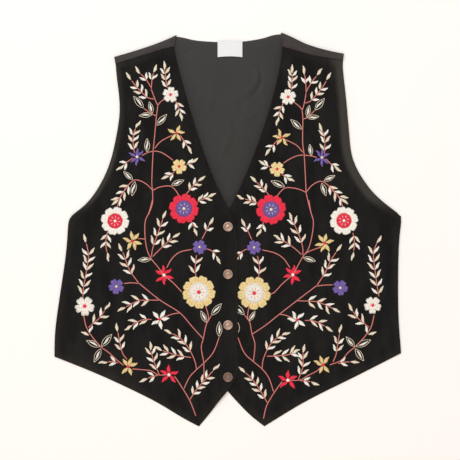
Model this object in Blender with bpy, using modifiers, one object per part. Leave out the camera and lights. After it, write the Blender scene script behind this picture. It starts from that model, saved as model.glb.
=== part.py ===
"""A woman's waist-length embroidered vest, laid flat and snapped shut, cut and sewn like the real one.

Metres, +Z up. It lies on its back on z = 0, with +Y towards the neck and +X towards the wearer's left.
The pieces are the satin back, whose shoulders fold over to the front, its lining, the two velveteen
fronts, the neck label, four snaps and the heads of the embroidered flowers.
"""

import math

import bmesh
import bpy
from mathutils import Vector
from mathutils.bvhtree import BVHTree

# Cloth: how thick each wall is, and the air left between two layers that touch.
SATIN_WALL = 0.0010
LINING_WALL = 0.0010
VELVETEEN_WALL = 0.0018
LABEL_WALL = 0.0010
LAYER_GAP = 0.0003
EDGE_SHARE = 0.55  # how much of a wall's thickness its pressed edge keeps
LINING_REST = SATIN_WALL + LAYER_GAP
FRONT_AIR = 0.0005  # the fronts lie a little looser than the lining
FRONT_REST = LINING_REST + LINING_WALL + FRONT_AIR

# Outline of the wearer's right front, which overlaps, at -X. Each run goes from the hem upwards.
RIGHT_SIDE = (
    (-0.2600, -0.1895),
    (-0.2588, -0.1500),
    (-0.2510, -0.0930),
    (-0.2423, -0.0330),
    (-0.2386, 0.0182),
)
RIGHT_ARMHOLE = (
    (-0.2386, 0.0182),
    (-0.2062, 0.0450),
    (-0.1790, 0.0930),
    (-0.1656, 0.1480),
    (-0.1614, 0.1850),
    (-0.1663, 0.2290),
    (-0.1685, 0.2495),
)
RIGHT_PLACKET = (
    (0.0135, -0.2130),
    (0.0135, -0.1400),
    (0.0135, -0.0600),
    (0.0120, 0.0080),
    (0.0085, 0.0170),
)
RIGHT_NECKLINE = (
    (0.0085, 0.0170),
    (-0.0135, 0.0600),
    (-0.0365, 0.1180),
    (-0.0585, 0.1860),
    (-0.0712, 0.2320),
    (-0.0757, 0.2485),
    (-0.0785, 0.2615),
    (-0.0806, 0.2745),
)
RIGHT_HEM = (
    (-0.2600, -0.1898),
    (-0.1890, -0.2189),
    (-0.1110, -0.2560),
    (-0.0680, -0.2820),
    (-0.0435, -0.2945),
)
RIGHT_POINT = (
    (-0.0435, -0.2945),
    (-0.0300, -0.2788),
    (-0.0180, -0.2620),
    (-0.0060, -0.2475),
    (0.0055, -0.2335),
    (0.0115, -0.2235),
    (0.0135, -0.2130),
)

# Outline of the wearer's left front, which lies under the other at the centre, at +X.
LEFT_SIDE = (
    (0.2592, -0.1845),
    (0.2553, -0.1300),
    (0.2547, -0.0700),
    (0.2562, -0.0150),
    (0.2606, 0.0204),
)
LEFT_ARMHOLE = (
    (0.2606, 0.0204),
    (0.2176, 0.0550),
    (0.1871, 0.1030),
    (0.1810, 0.1480),
    (0.1760, 0.2020),
    (0.1715, 0.2400),
    (0.1722, 0.2545),
)
LEFT_PLACKET = (
    (-0.0135, -0.2130),
    (-0.0135, -0.1400),
    (-0.0135, -0.0600),
    (-0.0105, 0.0050),
    (-0.0060, 0.0170),
)
LEFT_NECKLINE = (
    (-0.0060, 0.0170),
    (0.0165, 0.0600),
    (0.0410, 0.1180),
    (0.0635, 0.1860),
    (0.0754, 0.2330),
    (0.0793, 0.2540),
    (0.0808, 0.2735),
)
LEFT_HEM = ((0.2592, -0.1845), (0.1900, -0.2202), (0.1175, -0.2563), (0.0545, -0.2943))
LEFT_POINT = (
    (0.0545, -0.2943),
    (0.0425, -0.2872),
    (0.0300, -0.2745),
    (0.0165, -0.2605),
    (0.0040, -0.2470),
    (-0.0085, -0.2310),
    (-0.0135, -0.2130),
)

# Shoulder folds, the seams in front of them where the satin meets the fronts, and the back neck, from
# west to east. The back is a little smaller than the fronts that cover it.
RIGHT_SHOULDER = (
    (-0.1707, 0.2595),
    (-0.1398, 0.2686),
    (-0.1125, 0.2775),
    (-0.0891, 0.2866),
    (-0.0772, 0.2924),
)
RIGHT_SEAM = (
    (-0.1679, 0.2493),
    (-0.1430, 0.2570),
    (-0.1216, 0.2632),
    (-0.1020, 0.2697),
    (-0.0890, 0.2733),
    (-0.0806, 0.2747),
)
LEFT_SHOULDER = (
    (0.0795, 0.2945),
    (0.0900, 0.2924),
    (0.0972, 0.2888),
    (0.1124, 0.2806),
    (0.1287, 0.2750),
    (0.1531, 0.2684),
    (0.1738, 0.2645),
)
LEFT_SEAM = (
    (0.0808, 0.2737),
    (0.0888, 0.2727),
    (0.1035, 0.2688),
    (0.1189, 0.2632),
    (0.1287, 0.2609),
    (0.1498, 0.2580),
    (0.1714, 0.2542),
)
BACK_NECK = (
    (-0.0772, 0.2924),
    (-0.0663, 0.2886),
    (-0.0480, 0.2840),
    (0.0020, 0.2815),
    (0.0510, 0.2852),
    (0.0680, 0.2910),
    (0.0795, 0.2945),
)
BACK_HEM = ((-0.2560, -0.1860), (0.0000, -0.1870), (0.2560, -0.1790))
BACK_INSET = 0.0008
SHOULDER_HEIGHT = 0.0046
LINING_INSET_SIDE, LINING_INSET_HEM = 0.0120, 0.0120
LINING_INSET_SHOULDER, LINING_INSET_NECK = 0.0075, 0.0022

# The front's way down from the back's hem to the table, and how its outer edges press down on the back.
STEP_START, STEP_END = 0.004, 0.026
EDGE_REST = SATIN_WALL + LAYER_GAP
HEM_DOWN = 0.012  # the hem is on the table this far past the back's hem
EDGE_RIDGE_SHARE = 0.4  # how much of a ridge's lift reaches the pressed outer edge

# Snaps: ring snaps of 15 mm, one above another on the centre line.
SNAP_HEIGHTS = (0.0050, -0.0660, -0.1420, -0.2200)
SNAP_CAP_RADIUS, SNAP_CAP_HEIGHT = 0.0075, 0.0020
SNAP_CORE_RADIUS, SNAP_CORE_HEIGHT = 0.0055, 0.0016

# The overlapping band rises over the snaps: its height above the front beneath, by x across the band.
BAND_TOUCH = VELVETEEN_WALL + FRONT_AIR
BAND_ARCH = VELVETEEN_WALL + SNAP_CORE_HEIGHT + 2 * LAYER_GAP
BAND_SECTION = (
    (-0.0480, 0.0),
    (-0.0300, 0.55 * BAND_TOUCH),
    (-0.0150, BAND_ARCH),
    (0.0100, BAND_ARCH),
    (0.0136, BAND_TOUCH),
)
BAND_FOOT, BAND_FOOT_END = -0.248, -0.285  # below the last snap the band lies down on the table

# Soft ridges in the fronts: middle of the ridge, its direction, half length, half width and height.
RIDGES = (
    # x, y, degrees from +X, half_length, half_width, height
    (-0.2150, -0.0150, 118, 0.070, 0.020, 0.0024),
    (-0.1700, -0.1250, 100, 0.075, 0.026, 0.0018),
    (-0.1350, 0.0900, 62, 0.080, 0.022, 0.0016),
    (-0.0850, -0.0400, 95, 0.090, 0.024, 0.0012),
    (0.2250, -0.0350, 84, 0.060, 0.017, 0.0026),
    (0.1850, -0.1100, 75, 0.080, 0.025, 0.0018),
    (0.1480, 0.1050, 112, 0.075, 0.022, 0.0018),
    (0.0900, -0.0600, 88, 0.095, 0.024, 0.0012),
)
RIDGE_CALM = 0.040  # no ridge lifts the cloth within this distance of the centre line or of the step

# Upright waves in the lining, in the open neck: x, half width and height.
LINING_WAVES = (
    (-0.0420, 0.011, 0.0008),
    (-0.0120, 0.009, 0.0005),
    (0.0270, 0.010, 0.0010),
    (0.0530, 0.008, 0.0007),
)
NECK_OPEN_Y, NECK_OPEN_SLOPE = 0.0330, 0.345  # the V opens at this height, this much wider per metre up

# Label: a bare woven tab sewn in at the back neck.
LABEL_WIDTH, LABEL_HEIGHT, LABEL_X, LABEL_TOP = 0.0370, 0.0240, 0.0030, 0.2828
LABEL_CURL = 0.0006

# Heads of the embroidered flowers: solid stitching that stands about 1 mm proud of the velveteen.
HEAD_WALL, HEAD_RIM_SHARE = 0.0010, 0.5
FLOWERS = (
    # right_x, right_y, left_x, left_y, radius, petals, degrees from +X to the right one's first petal,
    # form, thread
    (-0.0860, 0.2025, 0.0900, 0.1990, 0.0115, 5, 84, "round", "white"),
    (-0.0775, 0.1450, 0.0805, 0.1380, 0.0130, 5, 80, "star", "gold"),
    (-0.1360, 0.1095, 0.1405, 0.1085, 0.0130, 6, 95, "star", "purple"),
    (-0.0730, 0.0950, 0.0735, 0.0910, 0.0112, 5, 54, "round", "gold"),
    (-0.0660, 0.0320, 0.0645, 0.0305, 0.0226, 8, 78, "ring", "red"),
    (-0.1690, 0.0135, 0.1735, 0.0140, 0.0216, 8, 77, "ring", "white"),
    (-0.1430, -0.0165, 0.1445, -0.0195, 0.0142, 6, 108, "star", "gold"),
    (-0.0425, -0.0255, 0.0390, -0.0260, 0.0117, 5, 67, "round", "purple"),
    (-0.0960, -0.0675, 0.0970, -0.0670, 0.0145, 6, 98, "star", "red"),
    (-0.0435, -0.0930, 0.0390, -0.0945, 0.0242, 9, 72, "ring", "gold"),
    (-0.1670, -0.0845, 0.1680, -0.0865, 0.0125, 5, 48, "round", "purple"),
    (-0.2145, -0.1140, 0.2165, -0.1125, 0.0142, 5, 57, "round", "white"),
    (-0.1025, -0.1335, 0.1035, -0.1345, 0.0146, 5, 60, "star", "white"),
    (-0.1495, -0.2045, 0.1425, -0.2020, 0.0142, 5, 75, "star", "gold"),
    (-0.0885, -0.2170, 0.0900, -0.2255, 0.0148, 5, 90, "star", "red"),
)
PETAL_FORMS = {
    # form: (points round each petal, radius between petals as a share, how full the petal is, rings)
    "round": (4, 0.62, 0.45, 1),
    "star": (2, 0.30, 1.00, 2),
    "ring": (6, 0.84, 0.50, 2),
}


def smoothstep(low, high, value):
    """0 at low, 1 at high, and an even S-curve between."""
    share = min(1.0, max(0.0, (value - low) / (high - low)))
    return share * share * (3.0 - 2.0 * share)


def dense_curve(points, per_span=24):
    """Many points on a smooth curve through the given ones (Catmull-Rom)."""
    ends = [2 * Vector(points[0]) - Vector(points[1]), 2 * Vector(points[-1]) - Vector(points[-2])]
    knots = [ends[0]] + [Vector(p) for p in points] + [ends[1]]
    curve = []
    for a, b, c, d in zip(knots, knots[1:], knots[2:], knots[3:]):
        for step in range(per_span):
            t = step / per_span
            bend = (2 * a - 5 * b + 4 * c - d) * t**2 + (3 * b - a - 3 * c + d) * t**3
            curve.append(0.5 * (2 * b + (c - a) * t + bend))
    return curve + [knots[-2]]


def along(points, shares):
    """Points at the given shares of the length of a smooth curve through the given points."""
    curve = dense_curve(points)
    reached = [0.0]
    for a, b in zip(curve, curve[1:]):
        reached.append(reached[-1] + (b - a).length)
    found = []
    k = 0
    for share in shares:
        goal = share * reached[-1]
        while k < len(curve) - 2 and reached[k + 1] < goal:
            k += 1
        part = (goal - reached[k]) / (reached[k + 1] - reached[k])
        found.append(curve[k].lerp(curve[k + 1], part))
    return found


def shares_of(widths):
    """Running shares, 0 to 1, of cells with these widths."""
    total = sum(widths)
    shares = [0.0]
    for width in widths:
        shares.append(shares[-1] + width / total)
    return shares


def edge(runs):
    """One boundary of a panel from its runs, each given as (points, cell widths)."""
    line = []
    for points, widths in runs:
        line += along(points, shares_of(widths))[bool(line) :]
    return line


def inset(line, distance):
    """The boundary line moved to its left by a distance."""
    moved = []
    for k, point in enumerate(line):
        way = (line[min(k + 1, len(line) - 1)] - line[max(k - 1, 0)]).normalized()
        moved.append(point + distance * Vector((-way.y, way.x)))
    return moved


def patch(west, east, south, north, columns, rows):
    """A grid of flat points filling four boundary lines (a Coons patch). columns and rows are shares."""
    grid = []
    for j, v in enumerate(rows):
        line = []
        for i, u in enumerate(columns):
            sides = west[j].lerp(east[j], u)
            ends = south[i].lerp(north[i], v)
            corners = south[0].lerp(south[-1], u).lerp(north[0].lerp(north[-1], u), v)
            line.append(sides + ends - corners)
        grid.append(line)
    return grid


def height_between(table, x):
    """The value at x in a table of (x, value) rows, eased between rows, and the end values outside."""
    if x <= table[0][0]:
        return table[0][1]
    for (x0, low), (x1, high) in zip(table, table[1:]):
        if x <= x1:
            return low + (high - low) * smoothstep(x0, x1, x)
    return table[-1][1]


def beyond_back_hem(x, y):
    """How far a point lies below the back's hem, where the fronts reach past it."""
    west, middle, east = BACK_HEM
    if x < middle[0]:
        hem = west[1] + (middle[1] - west[1]) * (x - west[0]) / (middle[0] - west[0])
    else:
        hem = middle[1] + (east[1] - middle[1]) * (x - middle[0]) / (east[0] - middle[0])
    return hem - y


def ridge_lift(x, y):
    """How far the soft ridges lift a front at a point."""
    calm = smoothstep(0.5 * RIDGE_CALM, 1.5 * RIDGE_CALM, abs(x))
    calm *= smoothstep(0.0, -RIDGE_CALM, beyond_back_hem(x, y))
    lift = 0.0
    for ridge_x, ridge_y, degrees, half_length, half_width, height in RIDGES:
        way = Vector((math.cos(math.radians(degrees)), math.sin(math.radians(degrees))))
        off = Vector((x - ridge_x, y - ridge_y))
        lift += height * math.exp(-((off.dot(way) / half_length) ** 2) - ((off.cross(way) / half_width) ** 2))
    return lift * calm


def front_underside(x, y, on_outer_edge, on_hem):
    """Height of the underside of a front, above the lining, the back or the table."""
    past = beyond_back_hem(x, y)
    if on_hem:
        return EDGE_REST * (1.0 - smoothstep(0.0, HEM_DOWN, past))
    if on_outer_edge:
        return EDGE_REST + EDGE_RIDGE_SHARE * ridge_lift(x, y)
    return FRONT_REST * (1.0 - smoothstep(STEP_START, STEP_END, past)) + ridge_lift(x, y)


def band_lift(x, y):
    """How far the overlapping front is lifted off the one beneath it."""
    return height_between(BAND_SECTION, x) * smoothstep(BAND_FOOT_END, BAND_FOOT, y)


def material(name, colour, roughness, metallic=0.0, sheen=0.0):
    made = bpy.data.materials.new(name)
    made.use_nodes = True
    shader = made.node_tree.nodes["Principled BSDF"]
    shader.inputs["Base Color"].default_value = (*colour, 1.0)
    shader.inputs["Roughness"].default_value = roughness
    shader.inputs["Metallic"].default_value = metallic
    shader.inputs["Sheen Weight"].default_value = sheen
    made.diffuse_color = (*colour, 1.0)
    return made


def place_in(collection, name, mesh, finish):
    mesh.materials.append(finish)
    made = bpy.data.objects.new(name, mesh)
    collection.objects.link(made)
    return made


def cloth(collection, name, points, wall, finish, left_out=()):
    """A cloth wall on a grid of points of its lower or outer side, thinner at its pressed edges.

    left_out holds the (column, row) of each cell that the piece doesn't have.
    """
    rows, columns = len(points) - 1, len(points[0]) - 1
    form = bmesh.new()
    bmesh.ops.create_grid(form, x_segments=columns, y_segments=rows, size=1.0)
    cell = {}
    for vertex in form.verts:
        cell[vertex] = (round((vertex.co.x + 1) / 2 * columns), round((vertex.co.y + 1) / 2 * rows))
    corner = {face: tuple(min(cell[v][axis] for v in face.verts) for axis in (0, 1)) for face in form.faces}
    unwanted = [face for face in form.faces if corner[face] in left_out]
    bmesh.ops.delete(form, geom=unwanted, context="FACES")
    for vertex in form.verts:
        i, j = cell[vertex]
        vertex.co = points[j][i]
    on_edge = [vertex.is_boundary for vertex in form.verts]
    mesh = bpy.data.meshes.new(name)
    form.to_mesh(mesh)
    form.free()
    made = place_in(collection, name, mesh, finish)
    share = made.vertex_groups.new(name="share of wall")
    for index, pressed in enumerate(on_edge):
        share.add([index], EDGE_SHARE if pressed else 1.0, "REPLACE")
    thicken = made.modifiers.new("Wall", "SOLIDIFY")
    thicken.thickness = wall
    thicken.offset = 1.0
    thicken.vertex_group = share.name
    mesh.shade_smooth()
    mesh.set_sharp_from_angle(angle=math.radians(40))
    return made


# Cells of the fronts: small at the pressed edges and over the snaps, larger in the field.
HEM_CELLS = (6, 14, 17, 18, 19, 19, 19, 18, 17, 16, 15)
POINT_CELLS = (14, 12, 10, 9, 8, 6)
SIDE_CELLS = (6, 15, 17, 17, 17, 17, 17, 17, 17, 17, 17, 17, 16)
ARMHOLE_CELLS = (15, 16, 17, 18, 18, 18, 18, 18, 18, 18, 18, 17, 15, 6)


def front_points(outline, seam, outer_is_west):
    """The underside of a front as a grid of points, west to east and hem to shoulder."""
    side, armhole, placket, neckline, hem, point = outline
    upright = SIDE_CELLS + ARMHOLE_CELLS
    outer = edge([(side, SIDE_CELLS), (armhole[:-1] + seam[:1], ARMHOLE_CELLS)])
    inner = edge([(placket, SIDE_CELLS), (neckline[:-1] + seam[-1:], ARMHOLE_CELLS)])
    across = HEM_CELLS + POINT_CELLS
    bottom = edge([(hem, HEM_CELLS), (point, POINT_CELLS)])
    top = along(seam, shares_of(across))
    grid = patch(outer, inner, bottom, top, shares_of(across), shares_of(upright))
    points = []
    for j, line in enumerate(grid):
        row = []
        for i, flat in enumerate(line):
            z = front_underside(flat.x, flat.y, i == 0, j == 0)
            if outer_is_west:
                z += band_lift(flat.x, flat.y)
            row.append(Vector((flat.x, flat.y, z)))
        points.append(row if outer_is_west else row[::-1])
    return points


def shoulder_strip(fold, seam, cells):
    """Points along a shoulder fold, the way from each to the seam in front, and the strip's depth there."""
    shares = shares_of(cells)
    line = along(fold, shares)
    reach = [end - start for start, end in zip(line, along(seam, shares))]
    return line, [way.normalized() for way in reach], [way.length for way in reach]


SHOULDER_CELLS = (4, 15, 16, 16, 16, 16, 4)
NECK_CELLS = (12,) * 13
BACK_SIDE_CELLS = (6, 28) + (34,) * 5
BACK_ARMHOLE_CELLS = (18,) * 14
FOLD_STEPS, STRIP_STEPS = 4, 2


def back_points():
    """The outer side of the satin back: flat on the table, up round each shoulder, and forward as a strip.

    Returns the grid, and the cells above the neck that it doesn't have.
    """
    radius = SHOULDER_HEIGHT / 2
    west_fold = shoulder_strip(RIGHT_SHOULDER, RIGHT_SEAM, SHOULDER_CELLS)
    east_fold = shoulder_strip(LEFT_SHOULDER, LEFT_SEAM, SHOULDER_CELLS)
    west_base = [p + radius * way for p, way in zip(west_fold[0], west_fold[1])]
    east_base = [p + radius * way for p, way in zip(east_fold[0], east_fold[1])]
    neck = [west_base[-1].to_tuple()] + list(BACK_NECK[1:-1]) + [east_base[0].to_tuple()]
    top = west_base + along(neck, shares_of(NECK_CELLS))[1:-1] + east_base
    across = SHOULDER_CELLS + NECK_CELLS + SHOULDER_CELLS
    upright = BACK_SIDE_CELLS + BACK_ARMHOLE_CELLS

    def side_line(side, armhole, end, turn):
        corner = BACK_HEM[0 if turn < 0 else -1]
        line = edge([((corner,) + side[1:], BACK_SIDE_CELLS), (armhole, BACK_ARMHOLE_CELLS)])
        line = inset(line, turn * BACK_INSET)
        line[-1] = end
        return line

    west = side_line(RIGHT_SIDE, RIGHT_ARMHOLE, west_base[0], -1)
    east = side_line(LEFT_SIDE, LEFT_ARMHOLE, east_base[-1], 1)
    bottom = along((west[0].to_tuple(), BACK_HEM[1], east[0].to_tuple()), shares_of(across))
    flat = patch(west, east, bottom, top, shares_of(across), shares_of(upright))
    points = [[Vector((p.x, p.y, 0.0)) for p in line] for line in flat]

    shoulder, neck_end = len(SHOULDER_CELLS), len(SHOULDER_CELLS) + len(NECK_CELLS)
    columns = len(across) + 1
    folds = {i: [part[i] for part in west_fold] for i in range(shoulder + 1)}
    folds.update({neck_end + i: [part[i] for part in east_fold] for i in range(shoulder + 1)})
    for step in range(1, FOLD_STEPS + STRIP_STEPS + 1):
        row = []
        for i in range(columns):
            if i not in folds:
                row.append(Vector((0.0, 0.0, 0.0)))
                continue
            crest, way, depth = folds[i]
            if step <= FOLD_STEPS:
                turn = math.pi * (step / FOLD_STEPS - 0.5)
                flat_point = crest + way * radius * (1.0 - math.cos(turn))
                row.append(Vector((*flat_point, radius * (1.0 + math.sin(turn)))))
            else:
                share = (step - FOLD_STEPS) / STRIP_STEPS
                flat_point = crest + way * (radius + (depth - radius) * share)
                row.append(Vector((*flat_point, SHOULDER_HEIGHT)))
        points.append(row)
    above_neck = range(len(upright), len(upright) + FOLD_STEPS + STRIP_STEPS)
    return points, {(i, j) for i in range(shoulder, neck_end) for j in above_neck}


def shoulder_seam(fold, seam):
    """The line where a front meets the end of the satin strip, a gap away from it, from west to east."""
    line, ways, depths = shoulder_strip(fold, seam, SHOULDER_CELLS)
    return tuple((p + way * (depth + LAYER_GAP)).to_tuple() for p, way, depth in zip(line, ways, depths))


def lining_points():
    """The underside of the back lining, a little smaller than the back, with soft waves in the open neck."""
    across = (10, 14, 16, 16, 15, 14, 12, 10, 10, 9, 9, 9, 9, 10, 10, 12, 14, 15, 16, 16, 14, 10)
    side_cells, armhole_cells = (36,) * 5 + (18,), (18,) * 13
    upright = side_cells + armhole_cells
    west = inset(edge([(RIGHT_SIDE, side_cells), (RIGHT_ARMHOLE, armhole_cells)]), -LINING_INSET_SIDE)
    east = inset(edge([(LEFT_SIDE, side_cells), (LEFT_ARMHOLE, armhole_cells)]), LINING_INSET_SIDE)
    west[0] = Vector((west[0].x, BACK_HEM[0][1] + LINING_INSET_HEM))
    east[0] = Vector((east[0].x, BACK_HEM[-1][1] + LINING_INSET_HEM))
    down = Vector((0.0, -LINING_INSET_SHOULDER))
    west[-1] = Vector(RIGHT_SHOULDER[0]) + down + Vector((LINING_INSET_SIDE, 0.0))
    east[-1] = Vector(LEFT_SHOULDER[-1]) + down - Vector((LINING_INSET_SIDE, 0.0))
    neck = [Vector(p) - Vector((0.0, LINING_INSET_NECK)) for p in BACK_NECK]
    neck[0] += down + Vector((0.0, LINING_INSET_NECK))
    neck[-1] += down + Vector((0.0, LINING_INSET_NECK))
    shoulder_cells = across[:7]
    top = (
        along((west[-1].to_tuple(), neck[0].to_tuple()), shares_of(shoulder_cells))
        + along([p.to_tuple() for p in neck], shares_of(across[7:15]))[1:-1]
        + along((neck[-1].to_tuple(), east[-1].to_tuple()), shares_of(shoulder_cells))
    )
    hem_middle = (BACK_HEM[1][0], BACK_HEM[1][1] + LINING_INSET_HEM)
    bottom = along((west[0].to_tuple(), hem_middle, east[0].to_tuple()), shares_of(across))
    flat = patch(west, east, bottom, top, shares_of(across), shares_of(upright))
    points = []
    for line in flat:
        row = []
        for p in line:
            half_open = NECK_OPEN_SLOPE * (p.y - NECK_OPEN_Y)
            open_here = smoothstep(0.0, 0.014, half_open - abs(p.x))
            wave = sum(height * math.exp(-(((p.x - x) / half) ** 2)) for x, half, height in LINING_WAVES)
            row.append(Vector((p.x, p.y, LINING_REST + open_here * wave)))
        points.append(row)
    return points


def surface_of(*objects):
    """What lets a piece find the cloth beneath it."""
    bpy.context.view_layer.update()
    graph = bpy.context.evaluated_depsgraph_get()
    return [BVHTree.FromObject(one, graph) for one in objects]


def top_of(surfaces, x, y):
    """Height of the highest cloth at a point."""
    hits = [tree.ray_cast(Vector((x, y, 1.0)), Vector((0.0, 0.0, -1.0)))[0] for tree in surfaces]
    return max(hit.z for hit in hits if hit is not None)


def label(collection, beneath, finish):
    """The bare label, on the lining at the neck, its lower edge lifting a little."""
    across, down = 6, 4
    crests = [LABEL_X + LABEL_WIDTH * share for share in (-0.4, -0.2, 0.0, 0.2, 0.4)]
    rest = max(top_of(beneath, x, LABEL_TOP - 0.8 * LABEL_HEIGHT) for x in crests)
    points = []
    for j in range(down + 1):
        share = j / down
        row = []
        for i in range(across + 1):
            side = i / across - 0.5
            y = LABEL_TOP - LABEL_HEIGHT * (1.0 - share) - 0.0012 * (1.0 - share) * (1.0 - (2 * side) ** 2)
            z = rest + LAYER_GAP + LABEL_CURL * (1.0 - share) ** 2
            row.append(Vector((LABEL_X + LABEL_WIDTH * side, y, z)))
        points.append(row)
    return cloth(collection, "neck_label", points, LABEL_WALL, finish)


def flower_head(collection, name, middle, first_petal, shape, beneath, finish):
    """The raised head of one embroidered flower, on the cloth that it is worked on."""
    radius, petals, form_name = shape
    per_petal, notch, fullness, rings = PETAL_FORMS[form_name]
    form = bmesh.new()
    around = petals * per_petal
    bmesh.ops.create_circle(form, cap_ends=True, cap_tris=True, segments=around, radius=1.0)
    spokes = [line for line in form.edges if not line.is_boundary]
    if rings > 1:
        bmesh.ops.subdivide_edges(form, edges=spokes, cuts=rings - 1)
    on_rim = [vertex.is_boundary for vertex in form.verts]
    for vertex in form.verts:
        turn = math.atan2(vertex.co.x, vertex.co.y)
        petal = abs(math.cos(petals * turn / 2)) ** fullness
        reach = radius * min(1.0, vertex.co.length) * (notch + (1.0 - notch) * petal)
        way = turn + math.radians(first_petal)
        x, y = middle[0] + reach * math.cos(way), middle[1] + reach * math.sin(way)
        vertex.co = (x, y, top_of(beneath, x, y) + LAYER_GAP)
    form.normal_update()
    if sum(face.normal.z for face in form.faces) < 0.0:
        bmesh.ops.reverse_faces(form, faces=form.faces)
    mesh = bpy.data.meshes.new(name)
    form.to_mesh(mesh)
    form.free()
    made = place_in(collection, name, mesh, finish)
    share = made.vertex_groups.new(name="share of wall")
    for index, rim in enumerate(on_rim):
        share.add([index], HEAD_RIM_SHARE if rim else 1.0, "REPLACE")
    thicken = made.modifiers.new("Wall", "SOLIDIFY")
    thicken.thickness = HEAD_WALL
    thicken.offset = 1.0
    thicken.vertex_group = share.name
    return made


def snap_cap(collection, name, y, underside, finish):
    """The cap of a ring snap: a low dome with one pressed ring, turned about its post."""
    r, h = SNAP_CAP_RADIUS, SNAP_CAP_HEIGHT
    profile = (
        (0.0, 0.92 * h),
        (0.26 * r, 0.90 * h),
        (0.40 * r, 0.72 * h),
        (0.54 * r, 0.98 * h),
        (0.82 * r, 0.86 * h),
        (r, 0.45 * h),
        (0.96 * r, 0.0),
        (0.0, 0.0),
    )
    mesh = bpy.data.meshes.new(name)
    mesh.from_pydata([(x, 0.0, z) for x, z in profile], [(k, k + 1) for k in range(len(profile) - 1)], [])
    made = place_in(collection, name, mesh, finish)
    turn = made.modifiers.new("Turn", "SCREW")
    turn.steps = turn.render_steps = 20
    turn.use_merge_vertices = True
    turn.merge_threshold = 0.00001
    turn.use_smooth_shade = True
    made.location = (0.0, y, underside)
    return made


def snap_core(collection, name, y, underside, finish):
    """The socket and stud, snapped together between the two fronts."""
    form = bmesh.new()
    bmesh.ops.create_cone(
        form,
        cap_ends=True,
        segments=14,
        radius1=SNAP_CORE_RADIUS,
        radius2=SNAP_CORE_RADIUS,
        depth=SNAP_CORE_HEIGHT,
    )
    mesh = bpy.data.meshes.new(name)
    form.to_mesh(mesh)
    form.free()
    mesh.shade_smooth()
    mesh.set_sharp_from_angle(angle=math.radians(30))
    made = place_in(collection, name, mesh, finish)
    made.location = (0.0, y, underside + SNAP_CORE_HEIGHT / 2)
    return made


def main():
    for old in list(bpy.data.objects):
        bpy.data.objects.remove(old, do_unlink=True)
    vest = bpy.data.collections.new("embroidered vest")
    bpy.context.scene.collection.children.link(vest)

    velveteen = material("black velveteen", (0.010, 0.010, 0.011), 0.85, sheen=0.4)
    satin = material("brown-black satin", (0.040, 0.028, 0.028), 0.42, sheen=0.1)
    lining = material("charcoal lining", (0.052, 0.046, 0.042), 0.50)
    white_tape = material("white woven tape", (0.86, 0.85, 0.84), 0.60)
    copper = material("antique copper", (0.30, 0.20, 0.17), 0.42, metallic=0.85)
    threads = {
        "white": material("white thread", (0.86, 0.84, 0.80), 0.55),
        "gold": material("gold thread", (0.70, 0.48, 0.13), 0.55),
        "purple": material("purple thread", (0.10, 0.07, 0.33), 0.55),
        "red": material("red thread", (0.72, 0.02, 0.05), 0.55),
    }

    back_grid, above_neck = back_points()
    cloth(vest, "back", back_grid, SATIN_WALL, satin, above_neck)
    back_lining = cloth(vest, "back_lining", lining_points(), LINING_WALL, lining)
    right_seam = shoulder_seam(RIGHT_SHOULDER, RIGHT_SEAM)
    left_seam = shoulder_seam(LEFT_SHOULDER, LEFT_SEAM)[::-1]
    right_outline = (RIGHT_SIDE, RIGHT_ARMHOLE, RIGHT_PLACKET, RIGHT_NECKLINE, RIGHT_HEM, RIGHT_POINT)
    left_outline = (LEFT_SIDE, LEFT_ARMHOLE, LEFT_PLACKET, LEFT_NECKLINE, LEFT_HEM, LEFT_POINT)
    right = front_points(right_outline, right_seam, True)
    left = front_points(left_outline, left_seam, False)
    right_front = cloth(vest, "right_front", right, VELVETEEN_WALL, velveteen)
    left_front = cloth(vest, "left_front", left, VELVETEEN_WALL, velveteen)
    label(vest, surface_of(back_lining), white_tape)

    over, under = surface_of(right_front), surface_of(left_front)
    for number, row in enumerate(FLOWERS, start=1):
        right_x, right_y, left_x, left_y, radius, petals, degrees, form, thread = row
        head, finish = (radius, petals, form), threads[thread]
        flower_head(vest, f"right_flower_{number}", (right_x, right_y), degrees, head, over, finish)
        flower_head(vest, f"left_flower_{number}", (left_x, left_y), 180 - degrees, head, under, finish)
    for number, y in enumerate(SNAP_HEIGHTS, start=1):
        around = ((0, 0), (1, 0), (-1, 0), (0, 1), (0, -1))
        ring = [(east * SNAP_CAP_RADIUS, y + north * SNAP_CAP_RADIUS) for east, north in around]
        rest = max(top_of(over, *spot) for spot in ring) + LAYER_GAP
        snap_cap(vest, f"snap_cap_{number}", y, rest, copper)
        rest = max(top_of(under, *spot) for spot in ring) + LAYER_GAP
        snap_core(vest, f"snap_core_{number}", y, rest, copper)


main()
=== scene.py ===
import math
import random

import bmesh
import bpy
import numpy as np
from mathutils import Matrix, Vector
from mathutils.bvhtree import BVHTree
from mathutils.kdtree import KDTree


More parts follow.
